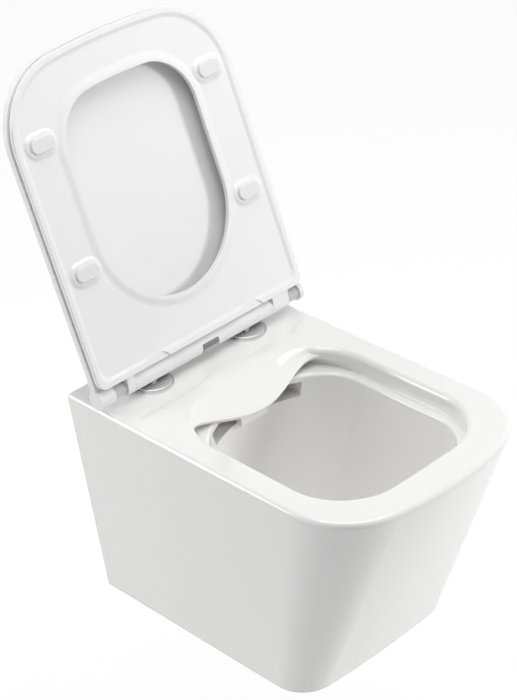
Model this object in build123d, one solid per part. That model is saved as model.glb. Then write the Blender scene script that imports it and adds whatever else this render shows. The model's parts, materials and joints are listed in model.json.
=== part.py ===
from build123d import *
import os
from math import cos, radians, sqrt

os.makedirs("parts", exist_ok=True)

# A rimless wall hung toilet with a slim soft-close seat and lid, shown with both raised.
# Millimetres, +Z up. The back face is the wall plane y = 0, the front faces -Y, and the
# origin is the middle of the two wall fixing holes. x runs to the right seen from the front.

# Pan, outside
rim_height = 75.0             # top of the rim above the wall fixings
pan_height = 333.0
pan_width = 360.0
pan_depth = 522.0
pan_front_bow = 36.0          # how far the middle of the front stands ahead of its corners
pan_corner_radius = 106.0
foot_width = 293.0
foot_depth = 387.0
foot_front_bow = 7.0
foot_corner_radius = 48.0
shell_wall = 11.0
rear_wall = 14.0
deck_thickness = 14.0
rim_outer_round = 7.0
rim_inner_round = 8.0

# Bowl
bowl_wall = 10.0
opening_width = 274.0
opening_front = 464.0         # distance of the opening's front edge from the wall
opening_middle = 235.0        # where the rounded rear of the opening begins
opening_rear = 120.0
opening_corner_radius = 85.0
opening_front_bow = 3.0
channel_depth = 28.0          # from the rim down to the ledge that the flush water runs on
ledge_side = 13.0
ledge_front = 11.0
ledge_rear = 30.0
ledge_round = 4.0             # where the ledge turns down into the bowl
ledge_hollow = 4.0            # where the ledge meets the wall above it
bowl_depth = 303.0            # rim to the lowest point of the sump
bowl_steepness = 1.5          # above 1 the upper bowl stays steep and the lower part draws in
bowl_sections = 4
sump_width = 50.0
sump_corner_radius = 23.0
sump_front = 290.0
sump_rear = 238.0

# Flush deflector, the tongue at the rear of the bowl, and the flush box under it
tongue_half_width = 122.0     # where the lip has run into the edge of the opening
tongue_reach = 67.0           # lip ahead of the opening's edge, at the middle
tongue_drop = 28.0
tongue_thickness = 9.0
tongue_fade = 1.5             # how fast the reach and drop die away to the sides
tongue_sections = 9
lip_radius = 3.5
flush_box_half_width = 84.0
flush_box_rear = 100.0
flush_box_front = 158.0
flush_box_floor = 17.0        # height above the fixings
splitter_width = 48.0
splitter_thickness = 10.0
flush_slot_height = 12.0      # the slots that feed the two sides of the ledge
flush_slot_depth = 25.0       # behind the opening's edge at the middle, less to the sides
flush_slot_side = 2.0
flush_slot_start = 60.0       # from the middle

# Wall interface
fixing_spacing = 180.0
fixing_hole_radius = 12.0
inlet_height = 35.0
inlet_radius = 27.5
inlet_depth = 34.0
inlet_duct_radius = 20.0
duct_wall = 8.0
outlet_drop = 100.0           # outlet centre below the fixings
spigot_radius = 51.0
spigot_bore_radius = 45.0
spigot_length = 34.0
spigot_gap = 12.0

# Trap, the middle line of its passage in the y, z plane
trap_radius = 32.0
trap_wall = 9.0
trap_start = 300.0
trap_low_end = 168.0
trap_crest_start = 140.0
trap_low_drop = 202.0         # below the fixings
trap_crest_drop = 88.0
trap_bend_radius = 45.0

# Wall fixings
stud_hole_radius = 6.5
bush_flange_radius = 17.0
bush_flange = 3.0
bush_gap = 0.2
washer_radius = 15.0
washer_thickness = 2.5
nut_width = 18.0
nut_thickness = 10.0
stack_gap = 0.1

# Inlet seal
seal_bore_radius = 22.5
seal_length = 30.0
seal_gap = 0.3
seal_rib_height = 1.2
seal_rib_width = 3.0
seal_rib_count = 3
seal_lead = 2.0

# Hinge axis and open pose
axis_depth = 68.8             # hinge axis ahead of the wall
axis_height = 21.6            # hinge axis above the deck
open_angle = 111.0            # from closed to the raised pose

# Seat posts on the deck
post_spacing = 174.0
post_depth = 66.0
post_radius = 6.5
post_height = 22.0
post_chamfer = 1.5
groove_bottom = 15.0          # above the deck
groove_height = 4.0
groove_cut = 1.5
base_radius = 25.0
base_thickness = 3.4
cover_radius = 29.0
cover_step_radius = 26.5
cover_flange = 2.5
cover_height = 5.5
cover_wall = 0.8
cover_round = 0.7
cover_gap = 0.3
gasket_thickness = 1.0
bolt_spacing = 155.0
bolt_radius = 3.0
bolt_head_radius = 5.6
bolt_head = 1.5
bolt_length = 48.0
bolt_gap = 0.25
deck_hole_radius = 8.0
deck_bush_gap = 0.3
deck_bush_foot = 10.0         # how far the bush stands out under the deck
deck_washer_radius = 13.0
deck_washer_thickness = 2.0
wing_hub_radius = 8.0
wing_hub_height = 9.0
wing_span = 34.0
wing_thickness = 3.0
wing_drop = 2.0
wing_height = 10.0

# Hinge bar, the carriage that clips over the posts
barrel_radius = 13.2
bar_half_length = 128.0
bar_foot_gap = 1.5            # bar above the deck
bar_back_front = 62.0
bar_back_rear = 42.0
bar_back_height = 27.0
bar_round = 3.0
socket_gap = 0.15
socket_headroom = 1.0
latch_slot_height = 4.0
latch_slot_margin = 1.6       # around the post, for the springs to open
latch_slot_inner = 26.0       # half of the solid middle between the two slots

# Hinge pins and dampers
pin_radius = 5.0
pin_inner = 101.0
pin_end_gap = 0.6
running_gap = 0.06
side_gap = 0.5
damper_radius = 10.2
left_knuckle_end = 141.0
right_knuckle_end = 158.0
bush_radius = 7.0
bush_fit = 0.05

# Latch springs and release button
latch_wire_radius = 0.8
latch_grip_gap = 0.2
latch_end_gap = 4.0
button_centre = 8.0
button_width = 28.0
button_foot = 13.0            # above the deck
button_height = 14.0
button_thickness = 6.0
button_chamfer = 3.0
button_gap = 0.4
button_travel = 3.0
button_proud = 1.0
button_spring_room = 8.5
spring_radius = 3.0
spring_wire = 0.4
spring_turns = 5.0

# Seat
seat_width = 375.0
seat_reach = 443.0            # hinge axis to the front edge
seat_front_bow = 16.0
seat_corner_radius = 105.0
seat_rear = 12.0              # hinge axis to the rear edge
seat_rear_radius = 14.0
seat_thickness = 9.0
seat_lift = 4.0               # underside of the closed seat above the rim
seat_top_round = 5.0
seat_bottom_round = 1.6
cover_relief = 1.5            # room for the post covers under the rear edge
cover_headroom = 0.8
ring_width = 224.0
ring_rear = 79.4              # these four are from the hinge axis
ring_middle = 195.0
ring_front = 381.0
ring_bow = 10.0
ring_corner_radius = 70.0
ring_top_round = 4.0
recess_depth = 3.0
recess_border = 7.0
recess_flank = 6.0
flank_sections = 5
roll_width = 3.5
roll_flank = 12.0
knuckle_web = 6.0
buffer_length = 37.0
buffer_width = 20.0
buffer_gap = 0.3              # closed buffers above the rim
buffer_round = 1.5
buffer_inset = 41.5           # from the seat's sides
buffer_rear_reach = 163.0     # rear pair, from the hinge axis
buffer_front_inset = 105.0    # front pair, from the seat's front
boss_margin = 3.0
boss_flank = 6.0

# Lid
lid_gap = 2.5                 # between the closed seat and the lid's edge
lid_rear = 16.0               # hinge axis to the rear edge
lid_edge = 11.0
lid_wall = 3.5
lid_top_round = 3.5
lid_crown = 5.0
ear_left_thickness = 24.5
ear_right_thickness = 7.0
ear_reach = 44.0
ear_bush_depth = 5.5
bumper_radius = 6.0
bumper_inset = 37.5           # from the lid's sides
bumper_rear_reach = 110.0     # rear pair, from the hinge axis
bumper_front_inset = 53.0     # front pair, from the lid's front
bumper_gap = 0.3

# What cutting shapes run past the faces they cut, and what joined shapes share
past = 5.0
shared = 1.0

deck_z = rim_height
foot_z = rim_height - pan_height
deck_under = deck_z - deck_thickness
ledge_z = deck_z - channel_depth
axis_y = -axis_depth
axis_z = deck_z + axis_height
hinge_axis = Axis((0, axis_y, axis_z), (1, 0, 0))
seat_bottom = deck_z + seat_lift
seat_top = seat_bottom + seat_thickness
lid_bottom = seat_top + lid_gap
lid_top = lid_bottom + lid_edge
slot_z = ledge_z + flush_slot_height
ear_outer = seat_width / 2
ear_inner_left = ear_outer - ear_left_thickness
ear_inner_right = ear_outer - ear_right_thickness
ear_inner = {-1: ear_inner_left, 1: ear_inner_right}
sides = ((-1, "left"), (1, "right"))


def mirrored(point):
    return (-point[0], point[1])


def front_edges(half, front_y, bow, corner):
    # a front edge bowed forward between two corner arcs, all tangent
    bow_radius = (half * half + bow * bow) / (2 * bow)
    bow_y = front_y + bow_radius
    reach = bow_radius - corner
    side_x = half - corner
    corner_y = bow_y - sqrt(reach * reach - side_x * side_x)
    outward = Vector(side_x / reach, (corner_y - bow_y) / reach)
    tangent = (bow_radius * outward.X, bow_y + bow_radius * outward.Y)
    toward = Vector(1 + outward.X, outward.Y).normalized() * corner
    middle = (side_x + toward.X, corner_y + toward.Y)
    side = (half, corner_y)
    left = ThreePointArc(mirrored(side), mirrored(middle), mirrored(tangent))
    front = ThreePointArc(mirrored(tangent), (0, front_y), tangent)
    right = ThreePointArc(tangent, middle, side)
    return side, [left, front, right]


def flat_back_wire(z, half, rear_y, front_y, bow, corner):
    side, front = front_edges(half, front_y, bow, corner)
    back = Line((half, rear_y), (-half, rear_y))
    left = Line((-half, rear_y), mirrored(side))
    right = Line(side, (half, rear_y))
    return Pos(0, 0, z) * Wire([back, left, *front, right])


def soft_back_wire(z, half, rear_y, front_y, bow, corner, rear_corner):
    side, front = front_edges(half, front_y, bow, corner)
    inner = half - rear_corner
    low = rear_y - rear_corner
    diagonal = rear_corner * cos(radians(45))
    middle = (inner + diagonal, low + diagonal)
    back = Line((inner, rear_y), (-inner, rear_y))
    left_corner = ThreePointArc((-inner, rear_y), mirrored(middle), (-half, low))
    left = Line((-half, low), mirrored(side))
    right = Line(side, (half, low))
    right_corner = ThreePointArc((half, low), middle, (inner, rear_y))
    return Pos(0, 0, z) * Wire([back, left_corner, left, *front, right, right_corner])


def round_back_wire(z, half, rear_y, middle_y, front_y, bow, corner):
    # half an ellipse behind middle_y, then straight sides and a bowed front
    side, front = front_edges(half, front_y, bow, corner)
    back = EllipticalCenterArc((0, middle_y), half, rear_y - middle_y, 0, arc_size=180)
    left = Line((-half, middle_y), mirrored(side))
    right = Line(side, (half, middle_y))
    return Pos(0, 0, z) * Wire([back, left, *front, right])


def loft_solid(wires, ruled=True):
    return Solid.make_loft(wires, ruled=ruled)


def prism(wire, height):
    return extrude(Face(wire), amount=height, dir=(0, 0, 1))


def block(x0, x1, y0, y1, z0, z1):
    return Pos((x0 + x1) / 2, (y0 + y1) / 2, (z0 + z1) / 2) * Box(abs(x1 - x0), abs(y1 - y0), abs(z1 - z0))


def rod(radius, start, end):
    along = Vector(*end) - Vector(*start)
    return Solid.make_cylinder(radius, along.length, Plane(origin=start, z_dir=along))


def upright(radius, x, y, z0, z1):
    return rod(radius, (x, y, z0), (x, y, z1))


def upright_ring(outer, inner, x, y, z0, z1):
    return upright(outer, x, y, z0, z1) - upright(inner, x, y, z0 - past, z1 + past)


def toward_wall(radius, x, z, y0, y1):
    return rod(radius, (x, y0, z), (x, y1, z))


def wall_ring(outer, inner, x, y0, y1):
    return toward_wall(outer, x, 0, y0, y1) - toward_wall(inner, x, 0, y0 + past, y1 - past)


def on_axis(radius, x0, x1):
    return rod(radius, (x0, axis_y, axis_z), (x1, axis_y, axis_z))


def side_profile(points, x0, x1):
    # a closed outline of y, z points run across from x0 to x1
    outline = Face(Wire(Polyline(points, close=True)))
    placed = Plane(origin=(min(x0, x1), 0, 0), x_dir=(0, 1, 0), z_dir=(1, 0, 0)) * outline
    return extrude(placed, amount=abs(x1 - x0), dir=(1, 0, 0))


def level_edges(shape, z, tolerance=0.05):
    return [e for e in shape.edges() if abs(e.bounding_box().min.Z - z) < tolerance
            and abs(e.bounding_box().max.Z - z) < tolerance]


def save(name, *solids):
    shape = solids[0] if len(solids) == 1 else Compound(children=list(solids))
    shape.label = name
    export_step(shape, f"parts/{name}.step")


def pan_outline(z, wall=0.0):
    return flat_back_wire(z, pan_width / 2 - wall, past, -pan_depth + wall, pan_front_bow,
                          pan_corner_radius - wall)


def foot_outline(z, wall=0.0):
    return flat_back_wire(z, foot_width / 2 - wall, past, -foot_depth + wall, foot_front_bow,
                          foot_corner_radius - wall)


def pan_form(wall, rear, z0, z1):
    # the pan's tapering outside, drawn in by a wall, ahead of the plane y = -rear and between two heights
    form = loft_solid([foot_outline(foot_z, wall), pan_outline(deck_z, wall)])
    return form & block(-pan_width, pan_width, -pan_depth, -rear, z0, z1)


def opening_outline(z, grow=0.0):
    return round_back_wire(z, opening_width / 2 + grow, -opening_rear + grow, -opening_middle,
                           -opening_front - grow, opening_front_bow, opening_corner_radius + grow)


def opening_edge_y(x):
    # the rear edge of the opening at a distance x from the middle
    return -opening_middle + (opening_middle - opening_rear) * sqrt(1 - (2 * x / opening_width) ** 2)


def flush_slot_outline(z, grow=0.0):
    # the opening's outline with its rounded rear moved back by the depth of the flush slots
    return round_back_wire(z, opening_width / 2 + flush_slot_side + grow, -opening_rear + flush_slot_depth + grow,
                           -opening_middle, -opening_front, opening_front_bow, opening_corner_radius)


def flush_slots(z0, z1, grow=0.0):
    # the parts of that outline that lie beside the tongue
    whole = prism(flush_slot_outline(z0, grow), z1 - z0)
    end = opening_width / 2 + flush_slot_side + grow
    slots = [whole & block(side * (flush_slot_start - grow), side * (end + past), -opening_middle, 0, z0, z1)
             for side, _ in sides]
    return slots[0] + slots[1]


def bowl_wire(share, grow):
    # a level section of the bowl, share 0 at the ledge and 1 at the bottom of the sump
    ease = share ** bowl_steepness

    def between(top, bottom):
        return top + (bottom - top) * ease

    z = ledge_z + (deck_z - bowl_depth - ledge_z) * share
    half = between(opening_width / 2 - ledge_side, sump_width / 2) + grow
    rear = between(opening_rear + ledge_rear, sump_rear) - grow
    front = between(opening_front - ledge_front, sump_front) + grow
    middle = between(opening_middle, (sump_front + sump_rear) / 2)
    corner = between(opening_corner_radius - ledge_side, sump_corner_radius) + grow
    return round_back_wire(z, half, -rear, -middle, -front, opening_front_bow, corner)


def bowl_solid(grow=0.0):
    return loft_solid([bowl_wire(i / (bowl_sections - 1), grow) for i in range(bowl_sections)], ruled=False)


def trap_solid(radius):
    points = [(0, -trap_start, -trap_low_drop), (0, -trap_low_end, -trap_low_drop),
              (0, -trap_crest_start, -trap_crest_drop), (0, -spigot_length - past, -trap_crest_drop)]
    path = FilletPolyline(points, radius=trap_bend_radius)
    return sweep(Plane(origin=path @ 0, z_dir=path % 0) * Circle(radius), path=path)


def tongue_section(x):
    # one upright section of the tongue: falling top, rounded lip, underside, and a back inside the deck
    rear_y = opening_edge_y(x) + rim_inner_round
    share = (1 - (x / tongue_half_width) ** 2) ** tongue_fade
    tip_y = opening_edge_y(x) - tongue_reach * share
    under_z = slot_z - (slot_z + tongue_thickness - deck_z + tongue_drop) * share
    tip_z = under_z + tongue_thickness
    crest = (rear_y, deck_z - 0.1)
    shoulder = (tip_y + lip_radius, tip_z)
    heel = (rear_y + past, under_z)
    top = Spline([crest, shoulder], tangents=[(-1, 0), (-1, -0.6)])
    edges = [top, Line(shoulder, (tip_y, tip_z - lip_radius)),
             Line((tip_y, tip_z - lip_radius), (tip_y + lip_radius, under_z)),
             Line((tip_y + lip_radius, under_z), heel), Line(heel, crest)]
    return Plane(origin=(x, 0, 0), x_dir=(0, 1, 0), z_dir=(1, 0, 0)) * Wire(edges)


def tongue_solid():
    half = tongue_half_width - past
    step = 2 * half / (tongue_sections - 1)
    sections = [tongue_section(-half + i * step) for i in range(tongue_sections)]
    return loft_solid(sections, ruled=False)


def pan_shell():
    outer = pan_form(0.0, 0.0, foot_z, deck_z)
    outer = fillet([e for e in level_edges(outer, deck_z) if e.center().Y < -shared], rim_outer_round)
    return outer - pan_form(shell_wall, rear_wall, foot_z, deck_under)


def water_ways():
    # the outsides of the bowl, trap, inlet duct, flush box and outlet, kept inside the shell
    collar_z = ledge_z - bowl_wall
    bowl = bowl_solid(bowl_wall) + prism(opening_outline(collar_z, bowl_wall), deck_z - shared - collar_z)
    bowl += flush_slots(collar_z, deck_z - shared, duct_wall)
    bowl &= pan_form(shell_wall / 2, rear_wall / 2, foot_z, deck_z)
    duct = toward_wall(inlet_radius + duct_wall, 0, inlet_height, -rear_wall / 2, -flush_box_rear - past)
    duct &= block(-pan_width, pan_width, -pan_depth, 0, foot_z, deck_z - shared)
    half = flush_box_half_width + duct_wall
    box = block(-half, half, -flush_box_front - duct_wall, -flush_box_rear + duct_wall,
                flush_box_floor - duct_wall, deck_z - shared)
    outlet = toward_wall(spigot_radius + spigot_gap + duct_wall, 0, -outlet_drop, -rear_wall / 2,
                         -spigot_length - spigot_gap)
    return bowl + trap_solid(trap_radius + trap_wall) + duct + box + outlet


def outlet_cut():
    # a ring-shaped recess that leaves the spigot standing, and the bore of the spigot
    recess = toward_wall(spigot_radius + spigot_gap, 0, -outlet_drop, past, -spigot_length)
    recess -= toward_wall(spigot_radius, 0, -outlet_drop, 2 * past, -spigot_length - past)
    return recess + toward_wall(spigot_bore_radius, 0, -outlet_drop, past, -spigot_length - past)


def opening_edges(pan):
    return [e for e in level_edges(pan, deck_z) if -opening_front - shared < e.center().Y
            and e.center().Y < -opening_rear + shared and abs(e.center().X) < opening_width / 2 + shared]


def ledge_edges(pan, outline):
    return [e for e in level_edges(pan, ledge_z) if outline.distance_to(e @ 0.5) < 0.05]


def make_pan():
    pan = pan_shell() + water_ways()
    pan -= prism(opening_outline(ledge_z), channel_depth + past)
    pan = fillet(opening_edges(pan), rim_inner_round)
    pan -= bowl_solid()
    pan = fillet(ledge_edges(pan, bowl_wire(0, 0)), ledge_round)
    pan = fillet(ledge_edges(pan, opening_outline(ledge_z)), ledge_hollow)
    pan -= trap_solid(trap_radius)
    flush_top = ledge_z - tongue_thickness
    pan -= block(-flush_box_half_width, flush_box_half_width, -flush_box_front - 2 * duct_wall,
                 -flush_box_rear, flush_box_floor, flush_top)
    pan -= flush_slots(ledge_z, slot_z)
    for side, _ in sides:
        pan -= block(side * flush_slot_start, side * flush_box_half_width, -flush_box_front, -flush_box_rear,
                     flush_box_floor, slot_z)
    pan += tongue_solid()
    splitter_front = -flush_box_front - duct_wall + splitter_thickness
    pan += block(-splitter_width / 2, splitter_width / 2, splitter_front - splitter_thickness,
                 splitter_front, flush_box_floor - shared, flush_top + shared)
    pan -= toward_wall(inlet_radius, 0, inlet_height, past, -inlet_depth)
    pan -= toward_wall(inlet_duct_radius, 0, inlet_height, past, -flush_box_rear - past) & block(
        -inlet_radius, inlet_radius, -flush_box_front, past, -inlet_radius, flush_top)
    pan -= outlet_cut()
    for side, _ in sides:
        pan -= toward_wall(fixing_hole_radius, side * fixing_spacing / 2, 0, past, -rear_wall - past)
        pan -= upright(deck_hole_radius, side * bolt_spacing / 2, -post_depth, deck_under - past, deck_z + past)
    save("pan_ceramic", pan)


def make_wall_fixings():
    bushes, washers, nuts = [], [], []
    for side, _ in sides:
        x = side * fixing_spacing / 2
        y = -rear_wall - stack_gap
        sleeve = wall_ring(fixing_hole_radius - bush_gap, stud_hole_radius, x, 0, y)
        bushes.append(sleeve + wall_ring(bush_flange_radius, stud_hole_radius, x, y, y - bush_flange))
        y -= bush_flange + stack_gap
        washers.append(wall_ring(washer_radius, stud_hole_radius, x, y, y - washer_thickness))
        y -= washer_thickness + stack_gap
        hexagon = Plane(origin=(x, y, 0), x_dir=(1, 0, 0), z_dir=(0, -1, 0)) * RegularPolygon(
            nut_width / 2, 6, major_radius=False)
        nut = extrude(hexagon, amount=nut_thickness)
        nuts.append(nut - toward_wall(stud_hole_radius, x, 0, 0, y - nut_thickness - past))
    save("wall_bushes", *bushes)
    save("wall_washers", *washers)
    save("wall_nuts", *nuts)


def make_inlet_seal():
    crest = inlet_radius - seal_gap
    root = crest - seal_rib_height
    pitch = (seal_length - 2 * seal_lead) / seal_rib_count
    points = [(seal_bore_radius, 0), (root, 0), (root, -seal_lead)]
    for i in range(seal_rib_count):
        start = seal_lead + i * pitch
        points += [(crest, -start - seal_rib_height), (crest, -start - seal_rib_width), (root, -start - pitch)]
    points += [(root, -seal_length), (seal_bore_radius, -seal_length)]
    outline = Face(Wire(Polyline(points, close=True)))
    placed = Plane(origin=(0, 0, inlet_height), x_dir=(1, 0, 0), z_dir=(0, 0, 1)) * outline
    save("inlet_seal", revolve(placed, axis=Axis((0, 0, inlet_height), (0, 1, 0))))


def post_with_base(x, bolt_x, y):
    base_bottom = deck_z + gasket_thickness
    base_top = base_bottom + base_thickness
    post_top = deck_z + post_height
    post = upright(base_radius, x, y, base_bottom, base_top) + upright(post_radius, x, y, base_top, post_top)
    post = chamfer(level_edges(post, post_top), post_chamfer)
    groove_z = deck_z + groove_bottom
    post -= upright_ring(post_radius + past, post_radius - groove_cut, x, y, groove_z, groove_z + groove_height)
    head_z = base_top - bolt_head - 2 * stack_gap
    post -= upright(bolt_radius + bolt_gap, bolt_x, y, base_bottom - past, head_z)
    post -= upright(bolt_head_radius + bolt_gap, bolt_x, y, head_z, base_top)
    return post


def post_cover(x, y):
    top = deck_z + cover_height
    cover = upright(cover_radius, x, y, deck_z, deck_z + cover_flange)
    cover += upright(cover_step_radius, x, y, deck_z, top)
    cover = fillet(level_edges(cover, top), cover_round)
    cover -= upright(base_radius + cover_gap, x, y, deck_z - past, top - cover_wall)
    return cover - upright(post_radius + cover_gap, x, y, deck_z, top + past)


def make_posts():
    gaskets, bolts, bushes, washers, nuts = [], [], [], [], []
    y = -post_depth
    base_bottom = deck_z + gasket_thickness
    for side, name in sides:
        x = side * post_spacing / 2
        bolt_x = side * bolt_spacing / 2
        save(f"hinge_post_{name}", post_with_base(x, bolt_x, y))
        save(f"post_cover_{name}", post_cover(x, y))
        gaskets.append(upright(base_radius, x, y, deck_z, base_bottom)
                       - upright(deck_hole_radius, bolt_x, y, deck_z - past, base_bottom + past))
        head_top = base_bottom + base_thickness - stack_gap
        bolts.append(upright(bolt_head_radius, bolt_x, y, head_top - bolt_head, head_top)
                     + upright(bolt_radius, bolt_x, y, head_top - bolt_length, head_top))
        bush_z = deck_under - deck_bush_foot
        bore = bolt_radius + bolt_gap
        bushes.append(upright_ring(deck_hole_radius - deck_bush_gap, bore, bolt_x, y, bush_z,
                                   base_bottom - stack_gap))
        washer_z = bush_z - stack_gap - deck_washer_thickness
        washers.append(upright_ring(deck_washer_radius, bore, bolt_x, y, washer_z, bush_z - stack_gap))
        hub_z = washer_z - stack_gap
        hub = upright(wing_hub_radius, bolt_x, y, hub_z - wing_hub_height, hub_z)
        wing_z = hub_z - wing_drop - wing_height
        wings = block(bolt_x - wing_span / 2, bolt_x + wing_span / 2, y - wing_thickness / 2,
                      y + wing_thickness / 2, wing_z, wing_z + wing_height)
        nuts.append(hub + wings - upright(bore, bolt_x, y, wing_z - past, hub_z + past))
    save("post_gaskets", *gaskets)
    save("post_bolts", *bolts)
    save("deck_bushes", *bushes)
    save("deck_washers", *washers)
    save("deck_wing_nuts", *nuts)


def make_hinge_bar():
    foot = deck_z + bar_foot_gap
    bar = on_axis(barrel_radius, -bar_half_length, bar_half_length)
    bar += block(-bar_half_length, bar_half_length, -bar_back_front, -bar_back_rear, foot, deck_z + bar_back_height)
    bar = fillet([e for e in bar.edges() if e.bounding_box().size.X > bar_half_length
                  and abs(e.center().Y + bar_back_rear) < shared], bar_round)
    low = deck_z + groove_bottom + (groove_height - latch_slot_height) / 2
    high = low + latch_slot_height
    latch_room = post_radius + latch_slot_margin
    y = -post_depth
    for side, _ in sides:
        x = side * post_spacing / 2
        bar -= upright(cover_radius + socket_headroom, x, y, deck_z, deck_z + cover_height + socket_headroom)
        bar -= upright(post_radius + socket_gap, x, y, deck_z, deck_z + post_height + socket_headroom)
        bar -= block(side * latch_slot_inner, x, y - latch_room, y + latch_room, low, high)
        bar -= upright(latch_room, x, y, low, high)
        bar -= on_axis(pin_radius + bush_fit, side * (pin_inner - pin_end_gap), side * (bar_half_length + past))
    window_half = button_width / 2 + button_gap
    window_front = axis_y - barrel_radius
    bar -= block(button_centre - window_half, button_centre + window_half, window_front - past,
                 window_front - button_proud + button_thickness + button_travel + button_spring_room,
                 deck_z + button_foot - button_gap, deck_z + button_foot + button_height + button_gap)
    save("hinge_bar", bar)


def make_pins():
    for side, name in sides:
        end = ear_inner[side] + ear_bush_depth - pin_end_gap
        save(f"hinge_pin_{name}", on_axis(pin_radius, side * pin_inner, side * end))


def make_latch_springs():
    # on each side a wire fork that grips the groove of its post
    z = deck_z + groove_bottom + groove_height / 2
    reach = post_radius - groove_cut + latch_grip_gap + latch_wire_radius
    for side, name in sides:
        x = side * post_spacing / 2
        end_x = side * (latch_slot_inner + latch_end_gap)
        front, back = -post_depth - reach, -post_depth + reach
        path = Wire([
            Line((end_x, front, z), (x, front, z)),
            ThreePointArc((x, front, z), (x + side * reach, -post_depth, z), (x, back, z)),
            Line((x, back, z), (end_x, back, z)),
        ])
        save(f"latch_spring_{name}", sweep(Plane(origin=path @ 0, z_dir=path % 0) * Circle(latch_wire_radius),
                                           path=path))


def make_button():
    front = axis_y - barrel_radius - button_proud
    back = front + button_thickness
    low = deck_z + button_foot
    high = low + button_height
    points = [(front + button_chamfer, low), (front, low + button_chamfer), (front, high - button_chamfer / 2),
              (front + button_chamfer / 2, high), (back, high), (back, low)]
    x0 = button_centre - button_width / 2
    save("release_button", side_profile(points, x0, x0 + button_width))
    room = button_travel + button_spring_room
    length = room - 2 * (spring_wire + stack_gap)
    helix = Helix(length / spring_turns, length, spring_radius, direction=(0, 1, 0),
                  center=(button_centre, back + spring_wire + stack_gap, (low + high) / 2))
    save("button_spring", sweep(Plane(origin=helix @ 0, z_dir=helix % 0) * Circle(spring_wire), path=helix,
                                is_frenet=True))


def opened(shape):
    return shape.rotate(hinge_axis, -open_angle)


def seat_outline(z, inset=0.0, rear=seat_rear):
    return soft_back_wire(z, seat_width / 2 - inset, axis_y - rear - inset, axis_y - seat_reach + inset,
                          seat_front_bow, seat_corner_radius - inset, seat_rear_radius)


def ring_outline(z, grow=0.0):
    return round_back_wire(z, ring_width / 2 + grow, axis_y - ring_rear + grow, axis_y - ring_middle,
                           axis_y - ring_front - grow, ring_bow, ring_corner_radius + grow)


def ring_edges(plate):
    return [e for e in level_edges(plate, seat_top) if axis_y - ring_front - shared < e.center().Y
            and e.center().Y < axis_y - ring_rear + shared and abs(e.center().X) < ring_width / 2 + shared]


def knuckle(x0, x1):
    # a barrel on the axis with a web that runs into the seat plate
    web_y = axis_y - seat_rear - knuckle_web
    points = [(axis_y, axis_z - barrel_radius), (web_y, seat_bottom), (web_y, seat_top - shared),
              (axis_y, axis_z + shared)]
    return on_axis(barrel_radius, x0, x1) + side_profile(points, x0, x1)


def pill_wire(x, y, z, grow=0.0):
    return Pos(x, y, z) * SlotOverall(buffer_length + 2 * grow, buffer_width + 2 * grow).faces()[0].outer_wire()


def four_places(width_inset, rear_reach, front_inset):
    # two pairs of places on the seat or lid, a rear pair and a front pair
    x = seat_width / 2 - width_inset
    return [(side * x, axis_y - reach) for reach in (rear_reach, seat_reach - front_inset) for side, _ in sides]


def buffer_places():
    return four_places(buffer_inset, buffer_rear_reach, buffer_front_inset)


def knuckle_ends():
    return ((-bar_half_length - side_gap, -left_knuckle_end), (bar_half_length + side_gap, right_knuckle_end))


def soft_recess(outline, start, flank):
    # a form as high as the seat's recess is deep, whose flank eases in at the bottom and out at the top
    sections = []
    for i in range(flank_sections):
        share = i / (flank_sections - 1)
        rise = recess_depth * (1 - cos(radians(180 * share))) / 2
        sections.append(outline(seat_bottom + rise, start + flank * share))
    return loft_solid(sections, ruled=False)


def make_seat():
    plate = fillet(level_edges(prism(seat_outline(seat_bottom), seat_thickness), seat_top), seat_top_round)
    plate = fillet(level_edges(plate, seat_bottom), seat_bottom_round)
    plate -= prism(ring_outline(seat_bottom - past), seat_thickness + 2 * past)
    plate = fillet(ring_edges(plate), ring_top_round)
    recess = soft_recess(seat_outline, recess_border, recess_flank)
    recess -= soft_recess(ring_outline, roll_width, roll_flank)
    for x, y in buffer_places():
        recess -= soft_recess(lambda z, grow: pill_wire(x, y, z, grow), boss_margin, boss_flank)
    seat = plate - recess
    for x0, x1 in knuckle_ends():
        seat += knuckle(x0, x1)
    for x0, x1 in knuckle_ends():
        seat -= on_axis(bush_radius, x0 * 2 - x1, x1 * 2 - x0)
    for side, _ in sides:
        seat -= upright(cover_step_radius + cover_relief, side * post_spacing / 2, -post_depth, deck_z,
                        deck_z + cover_height + cover_headroom)
    save("seat_ring", opened(seat))


def make_seat_fittings():
    low = deck_z + buffer_gap
    for number, (x, y) in enumerate(buffer_places(), start=1):
        body = prism(pill_wire(x, y, low), seat_bottom - low)
        save(f"seat_buffer_{number}", opened(fillet(level_edges(body, low), buffer_round)))
    bushes = []
    for x0, x1 in knuckle_ends():
        bushes.append(opened(on_axis(bush_radius - bush_fit, x0, x1)
                             - on_axis(pin_radius + running_gap, x0 * 2 - x1, x1 * 2 - x0)))
    save("seat_bushes", *bushes)
    damper = on_axis(damper_radius, -left_knuckle_end - stack_gap, -ear_inner_left + side_gap)
    save("seat_damper", opened(damper - on_axis(pin_radius + running_gap, -left_knuckle_end + past, -ear_outer)))


def ear(side):
    # a barrel on the axis with a web that runs into the lid's rear corner
    x0, x1 = side * ear_inner[side], side * ear_outer
    points = [(axis_y, axis_z), (axis_y - lid_rear, lid_bottom), (axis_y - ear_reach, lid_bottom),
              (axis_y - ear_reach, lid_top - lid_wall), (axis_y - lid_rear, lid_top),
              (axis_y, axis_z + barrel_radius)]
    return on_axis(barrel_radius, x0, x1) + side_profile(points, x0, x1)


def crowned_slab(inset, low, high):
    # a slab with the lid's outline whose top is arched across
    half = seat_width / 2
    arch_radius = (half * half + lid_crown * lid_crown) / (2 * lid_crown)
    arch_z = high + lid_crown - arch_radius
    arch = toward_wall(arch_radius, 0, arch_z, axis_y, axis_y - seat_reach - past)
    return prism(seat_outline(low, inset, lid_rear), high + lid_crown - low) & arch


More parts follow.
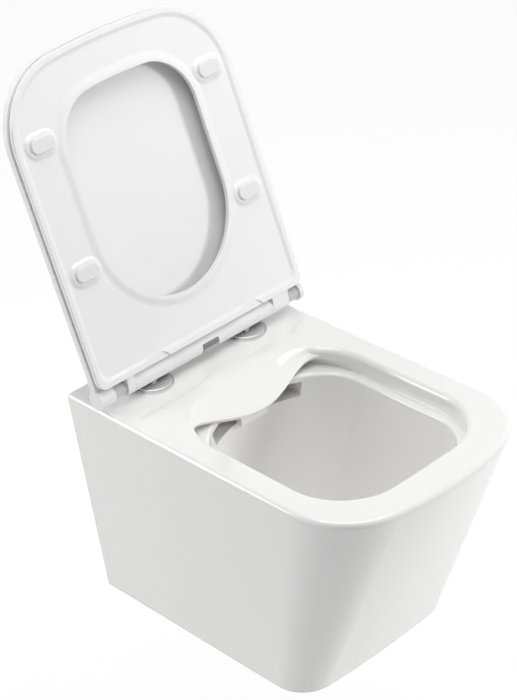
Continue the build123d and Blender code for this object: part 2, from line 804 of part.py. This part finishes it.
def make_lid():
    lid = crowned_slab(0.0, lid_bottom, lid_top)
    lid = fillet([e for e in lid.edges() if e.bounding_box().min.Z > lid_top - shared], lid_top_round)
    lid -= crowned_slab(lid_wall, lid_bottom - past, lid_top - lid_wall)
    for side, _ in sides:
        lid += ear(side)
        lid -= on_axis(bush_radius, side * (ear_inner[side] - past), side * (ear_inner[side] + ear_bush_depth))
    save("lid_shell", opened(lid))


def make_lid_fittings():
    save("lid_bumpers", *[opened(upright(bumper_radius, x, y, seat_top + bumper_gap, lid_top - lid_wall))
                          for x, y in four_places(bumper_inset, bumper_rear_reach, bumper_front_inset)])
    bushes = []
    for side, _ in sides:
        start = ear_inner[side]
        end = start + ear_bush_depth - stack_gap
        bushes.append(opened(on_axis(bush_radius - bush_fit, side * start, side * end)
                             - on_axis(pin_radius + running_gap, side * (start - past), side * (end + past))))
    save("lid_bushes", *bushes)
    damper = on_axis(damper_radius, right_knuckle_end + side_gap, ear_inner_right - stack_gap)
    save("lid_damper", opened(damper - on_axis(pin_radius + running_gap, right_knuckle_end, ear_outer)))


make_pan()
make_wall_fixings()
make_inlet_seal()
make_posts()
make_hinge_bar()
make_pins()
make_latch_springs()
make_button()
make_seat()
make_seat_fittings()
make_lid()
make_lid_fittings()
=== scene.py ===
import bpy
import json
import math
from mathutils import Matrix, Vector


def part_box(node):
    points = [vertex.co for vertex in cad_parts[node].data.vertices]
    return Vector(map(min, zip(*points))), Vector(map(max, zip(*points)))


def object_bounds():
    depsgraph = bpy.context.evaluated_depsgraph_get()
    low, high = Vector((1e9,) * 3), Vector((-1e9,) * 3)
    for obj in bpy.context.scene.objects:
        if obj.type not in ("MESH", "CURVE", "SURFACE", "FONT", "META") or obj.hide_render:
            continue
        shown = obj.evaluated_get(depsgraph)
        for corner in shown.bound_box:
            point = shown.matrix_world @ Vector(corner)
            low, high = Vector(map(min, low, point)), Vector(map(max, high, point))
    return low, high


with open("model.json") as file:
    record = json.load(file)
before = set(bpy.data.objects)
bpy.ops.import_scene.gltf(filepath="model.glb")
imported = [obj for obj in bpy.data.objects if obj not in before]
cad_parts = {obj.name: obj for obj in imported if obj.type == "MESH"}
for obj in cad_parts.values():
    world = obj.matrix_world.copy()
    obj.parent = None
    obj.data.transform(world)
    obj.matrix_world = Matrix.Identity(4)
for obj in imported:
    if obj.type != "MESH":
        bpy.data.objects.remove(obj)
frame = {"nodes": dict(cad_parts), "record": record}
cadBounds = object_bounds()
print("frame loaded,", len(frame["nodes"]), "nodes")

scene = bpy.context.scene


class Sock:
    # one output socket of a material; sums and products of it add Math nodes
    def __init__(self, look, out):
        self.look = look
        self.out = out

    def maths(self, operation, first, second):
        return self.look.node("ShaderNodeMath", {"operation": operation}, {0: first, 1: second})

    def __add__(self, other):
        return self.maths("ADD", self, other)

    def __radd__(self, other):
        return self.maths("ADD", other, self)

    def __sub__(self, other):
        return self.maths("SUBTRACT", self, other)

    def __rsub__(self, other):
        return self.maths("SUBTRACT", other, self)

    def __mul__(self, other):
        return self.maths("MULTIPLY", self, other)

    def __rmul__(self, other):
        return self.maths("MULTIPLY", other, self)

    def __gt__(self, other):
        return self.maths("GREATER_THAN", self, other)

    def __lt__(self, other):
        return self.maths("LESS_THAN", self, other)


class Look:
    # a material, or the world, with its node tree; node() adds any node to it
    def __init__(self, name, world=None):
        self.holder = world or bpy.data.materials.new(name)
        self.holder.use_nodes = True
        self.tree = self.holder.node_tree
        self.shader = self.tree.nodes.get("Principled BSDF")

    def node(self, kind, settings=None, inputs=None, output=0):
        made = self.tree.nodes.new(kind)
        for key, value in (settings or {}).items():
            setattr(made, key, value)
        for key, value in (inputs or {}).items():
            self.feed(made.inputs[key], value)
        return Sock(self, made.outputs[output])

    def feed(self, socket, value):
        if isinstance(value, Sock):
            self.tree.links.new(value.out, socket)
        else:
            socket.default_value = value

    def set(self, **values):
        names = {"colour": "Base Color", "roughness": "Roughness", "metallic": "Metallic",
            "coat": "Coat Weight",
                 "coatRoughness": "Coat Roughness", "normal": "Normal"}
        for key, value in values.items():
            self.feed(self.shader.inputs[names[key]], value)
        return self

    def place(self):
        return self.node("ShaderNodeTexCoord", output="Object")

    def noise(self, scale, detail=3.0, roughness=0.5, stretch=None):
        vector = self.place()
        if stretch:
            vector = self.node("ShaderNodeMapping", {}, {"Vector": vector, "Scale": stretch})
        return self.node("ShaderNodeTexNoise", {}, {"Vector": vector, "Scale": scale, "Detail": detail,
                                                    "Roughness": roughness}, "Fac")

    def mix(self, factor, first, second):
        return self.node("ShaderNodeMix", {"data_type": "RGBA"}, {"Factor": factor, 6: first, 7: second}, 2)

    def bump(self, height, strength, distance):
        return self.node("ShaderNodeBump", {}, {"Height": height, "Strength": strength, "Distance": distance})


def grey(value, warmth=0.0):
    return (value + warmth, value, value - warmth, 1.0)


glaze = {
    "white": 0.89, "shade": 0.87, "warmth": 0.004, "bisque": 0.60, "bisqueWarmth": 0.08, "bisqueDull": 0.12,
    "footBand": 0.0012, "backBand": 0.0008, "roughness": 0.07, "cloudRoughness": 0.04, "bareRoughness": 0.6,
    "coat": 0.6, "coatRoughness": 0.03, "cloudScale": 5.0, "pitScale": 900.0, "pitLevel": 0.78,
        "pitHeight": 0.02,
    "waveScale": 38.0, "bumpStrength": 0.05, "wave": 0.010 * 0.1,
}
resin = {
    "white": 0.89, "shade": 0.875, "roughness": 0.14, "cloudRoughness": 0.05, "coat": 0.35,
        "coatRoughness": 0.06,
    "cloudScale": 9.0, "skinScale": 420.0, "bumpStrength": 0.04, "bumpDistance": 0.0002,
}
# painted shade: the darker upper colour of the release button stands for the shadow deep in its recess
button = {"split": 0.5, "ribPitch": 0.0016, "ribDepth": 0.0004, "lower": 0.46, "upper": 0.22}


def glazedCeramic():
    # white glaze, left bare along the foot and on the back that meets the wall
    look = Look("glazed_ceramic")
    cloud = look.noise(glaze["cloudScale"], 2.0)
    pits = look.noise(glaze["pitScale"], 1.0)
    waves = look.noise(glaze["waveScale"], 2.0)
    upward = look.node("ShaderNodeSeparateXYZ", {}, {"Vector": look.place()}, "Z")
    rearward = look.node("ShaderNodeSeparateXYZ", {}, {"Vector": look.place()}, "Y")
    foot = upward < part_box("pan_ceramic")[0].z + glaze["footBand"]
    back = rearward > -glaze["backBand"]
    bare = look.node("ShaderNodeMath", {"operation": "MAXIMUM"}, {0: foot, 1: back})
    white = look.mix(cloud, grey(glaze["white"], glaze["warmth"]), grey(glaze["shade"], glaze["warmth"]))
    bisque = glaze["bisque"]
    warm = bisque * (1 + glaze["bisqueWarmth"])
    cool = bisque * (1 - glaze["bisqueDull"])
    colour = look.mix(bare, white, (warm, bisque, cool, 1.0))
    roughness = glaze["roughness"] + glaze["cloudRoughness"] * cloud + glaze["bareRoughness"] * bare
    height = waves + glaze["pitHeight"] * (pits > glaze["pitLevel"])
    return look.set(colour=colour, roughness=roughness, coat=(1.0 - bare) * glaze["coat"],
                    coatRoughness=glaze["coatRoughness"],
                    normal=look.bump(height, glaze["bumpStrength"], glaze["wave"])).holder


def seatResin():
    look = Look("seat_resin")
    cloud = look.noise(resin["cloudScale"], 2.0)
    skin = look.noise(resin["skinScale"], 2.0)
    colour = look.mix(cloud, grey(resin["white"]), grey(resin["shade"]))
    return look.set(colour=colour, roughness=resin["roughness"] + resin["cloudRoughness"] * cloud,
                    coat=resin["coat"], coatRoughness=resin["coatRoughness"],
                    normal=look.bump(skin, resin["bumpStrength"], resin["bumpDistance"])).holder


def mouldedPlastic(name, value, roughness, grain=600.0, warmth=0.0):
    look = Look(name)
    cloud = look.noise(25.0, 2.0)
    skin = look.noise(grain, 3.0)
    colour = look.mix(cloud, grey(value, warmth), grey(value * 0.93, warmth))
    return look.set(colour=colour, roughness=roughness + 0.08 * skin, normal=look.bump(skin, 0.08,
        0.0003)).holder


def ribbedButton():
    # painted shade: the upper face is darkened to stand for the shadow deep in the button's recess; the lower
    # face is lighter, with fine upright ribs
    look = Look("button_grey")
    low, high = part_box("release_button")
    split = low.z + button["split"] * (high.z - low.z)
    across = look.node("ShaderNodeSeparateXYZ", {}, {"Vector": look.place()}, "X")
    rib = look.node("ShaderNodeMath", {"operation": "PINGPONG"}, {0: across, 1: button["ribPitch"] / 2})
    # mask of the upper face: it carries the painted shade and keeps the ribs off that face
    upper = look.node("ShaderNodeSeparateXYZ", {}, {"Vector": look.place()}, "Z") > split
    height = rib * (1.0 - upper) * (2 / button["ribPitch"])
    colour = look.mix(upper, grey(button["lower"]), grey(button["upper"]))
    return look.set(colour=colour, roughness=0.34 + 0.08 * look.noise(600.0, 3.0),
                    normal=look.bump(height, 0.6, button["ribDepth"])).holder


def polishedChrome():
    look = Look("chrome")
    smear = look.noise(60.0, 3.0)
    return look.set(colour=grey(0.72), metallic=1.0, roughness=0.05 + 0.09 * smear).holder


def turnedSteel():
    look = Look("steel")
    rings = look.noise(1400.0, 2.0, 0.5, (1.0, 1.0, 0.05))
    tone = look.mix(look.noise(70.0), grey(0.52), grey(0.6))
    return look.set(colour=tone, metallic=1.0, roughness=0.26 + 0.12 * rings,
                    normal=look.bump(rings, 0.1, 0.0002)).holder


finishes = {
    "glazed_ceramic": glazedCeramic(),
    "seat_resin": seatResin(),
    "hinge_plastic": mouldedPlastic("hinge_plastic", 0.88, 0.20),
    "buffer_plastic": mouldedPlastic("buffer_plastic", 0.85, 0.38),
    "grey_plastic": mouldedPlastic("grey_plastic", 0.60, 0.35),
    "button_grey": ribbedButton(),
    "bush_plastic": mouldedPlastic("bush_plastic", 0.72, 0.45, warmth=0.01),
    "black_rubber": mouldedPlastic("black_rubber", 0.03, 0.6, 900.0),
    "chrome": polishedChrome(),
    "steel": turnedSteel(),
}
slotOf = {part["node"]: part["material_slot"] for part in frame["record"]["subparts"]}
for name, node in frame["nodes"].items():
    node.data.materials.clear()
    node.data.materials.append(finishes[slotOf[name]])
print("finishes made")


studio = {
    "ambient": 0.31, "floorDrop": 0.25, "paper": 1.06,
    "lamps": {
        "top": {"at": (0.1, -0.4, 2.0), "size": (1.6, 1.6), "power": 21.0},
        "rearLeft": {"at": (-1.69, 1.41, 0.85), "size": (1.0, 1.6), "power": 22.0},
        "frontRight": {"at": (1.42, -1.72, 0.78), "size": (0.5, 0.5), "power": 19.0,
                       "mirrored": False},
    },
    "aim": (0.0, -0.25, 0.05),
}


def backdropLook(name, share):
    # camera and mirror rays see white; the rest of the surface keeps the shadow
    look = Look(name)
    path = look.tree.nodes.new("ShaderNodeLightPath")
    seen = Sock(look, path.outputs["Is Camera Ray"]) + Sock(look, path.outputs["Is Glossy Ray"]) \
        + Sock(look, path.outputs["Is Transmission Ray"])
    factor = look.node("ShaderNodeMath", {"operation": "MINIMUM"}, {0: seen, 1: 1.0}) * share
    glow = look.node("ShaderNodeEmission", {}, {"Color": (1.0, 1.0, 1.0, 1.0), "Strength": studio["paper"]})
    mixed = look.node("ShaderNodeMixShader", {}, {0: factor, 1: Sock(look, look.shader.outputs[0]), 2: glow})
    look.tree.links.new(mixed.out, look.tree.nodes["Material Output"].inputs["Surface"])
    look.set(colour=grey(0.9), roughness=0.8)
    return look.holder


def buildStudio():
    bpy.ops.object.select_all(action="DESELECT")
    bpy.ops.mesh.primitive_plane_add(size=12.0, location=(0, 0, cadBounds[0][2] - studio["floorDrop"]))
    floor = bpy.context.object
    floor.name = "floor"
    floor.data.materials.append(backdropLook("floor_paper", 0.85))

    world = scene.world or bpy.data.worlds.new("studio")
    scene.world = world
    look = Look("world", world)
    path = look.tree.nodes.new("ShaderNodeLightPath")
    seen = Sock(look, path.outputs["Is Camera Ray"]) + Sock(look, path.outputs["Is Glossy Ray"]) \
        + Sock(look, path.outputs["Is Transmission Ray"])
    seen = look.node("ShaderNodeMath", {"operation": "MINIMUM"}, {0: seen, 1: 1.0})
    strength = studio["ambient"] + (1.0 - studio["ambient"]) * seen
    background = look.tree.nodes["Background"]
    background.inputs["Color"].default_value = (1.0, 1.0, 1.0, 1.0)
    look.feed(background.inputs["Strength"], strength)

    for name, lamp in studio["lamps"].items():
        bpy.ops.object.light_add(type="AREA", location=lamp["at"])
        light = bpy.context.object
        light.name = name
        light.data.shape = "RECTANGLE"
        light.data.size, light.data.size_y = lamp["size"]
        light.data.energy = lamp["power"]
        light.visible_glossy = lamp.get("mirrored", True)
        toward = Vector(studio["aim"]) - Vector(lamp["at"])
        light.rotation_euler = toward.to_track_quat("-Z", "Y").to_euler()


view = {
    "azimuth": -0.71852, "elevation": 0.55321, "roll": -0.08247,
    "at": (-1.66919, -1.96234, 1.62362), "focalPixels": 2195.08, "centre": (194.42, 364.28),
    "frame": (517, 700), "sensor": 36.0,
}


def buildCamera():
    az, el, roll = view["azimuth"], view["elevation"], view["roll"]
    back = Vector((math.sin(az) * math.cos(el), -math.cos(az) * math.cos(el), math.sin(el)))
    right = (-back).cross(Vector((0, 0, 1))).normalized()
    up = back.cross(right)
    tiltedRight = math.cos(roll) * right + math.sin(roll) * up
    tiltedUp = math.cos(roll) * up - math.sin(roll) * right
    turn = Matrix((tiltedRight, tiltedUp, back)).transposed().to_4x4()
    bpy.ops.object.camera_add()
    camera = bpy.context.object
    camera.matrix_world = Matrix.Translation(Vector(view["at"])) @ turn
    width, height = view["frame"]
    camera.data.sensor_width = view["sensor"]
    camera.data.lens = view["focalPixels"] * view["sensor"] / height
    camera.data.shift_x = (width / 2 - view["centre"][0]) / height
    camera.data.shift_y = (view["centre"][1] - height / 2) / height
    scene.camera = camera


buildStudio()
buildCamera()
scene.view_settings.view_transform = "Standard"
print("studio and camera set")
